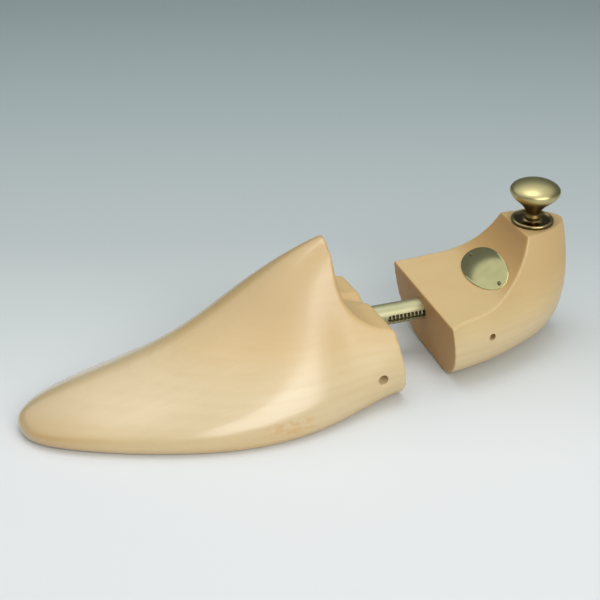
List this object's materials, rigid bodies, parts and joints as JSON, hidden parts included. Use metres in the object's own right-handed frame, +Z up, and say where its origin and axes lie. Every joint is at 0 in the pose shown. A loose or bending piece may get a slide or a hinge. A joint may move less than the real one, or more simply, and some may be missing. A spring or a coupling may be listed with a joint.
{
  "type": "shoe tree",
  "caption": "Wooden shoe tree for a left shoe: lasted forepart and heel block on a sprung, slotted brass tube, with a turned brass knob.",
  "frame": {"origin": "centre of the bounding box in X and Y, on the sole", "axes": "+X from toe to heel along the tube, +Y to the inner side of the foot, +Z up from the sole"},
  "size_m": [0.2592, 0.0908, 0.0775],
  "materials": {
    "forepart_wood": "satin lacquered pale maple",
    "heel_wood": "satin lacquered pale maple",
    "dowel_wood": "plain beech",
    "tube_brass": "polished",
    "plug_steel": "turned",
    "spring_steel": "bright drawn wire",
    "pin_steel": "plain",
    "rose_brass": "antique satin",
    "knob_brass": "antique satin",
    "plate_brass": "polished"
  },
  "bodies": {
    "forepart": {"forepart": "forepart_wood", "slotted_tube": "tube_brass", "spring_seat": "plug_steel", "forepart_cross_pin": "dowel_wood", "compression_spring": "spring_steel"},
    "heel": {"heel_block": "heel_wood", "spring_follower": "plug_steel", "heel_cross_pin": "pin_steel", "knob_rose": "rose_brass", "knob": "knob_brass", "knob_stud": "pin_steel", "oval_plate": "plate_brass", "oval_plate_pins": "plate_brass"}
  },
  "joints": [
    {"name": "heel_slide", "type": "slide", "parent": "forepart", "child": "heel", "axis": [-1, 0, 0], "range_m": [0, 0.022], "stiffness_N_per_m": 1500, "springref_m": -0.01, "deforming": ["compression_spring"]}
  ]
}
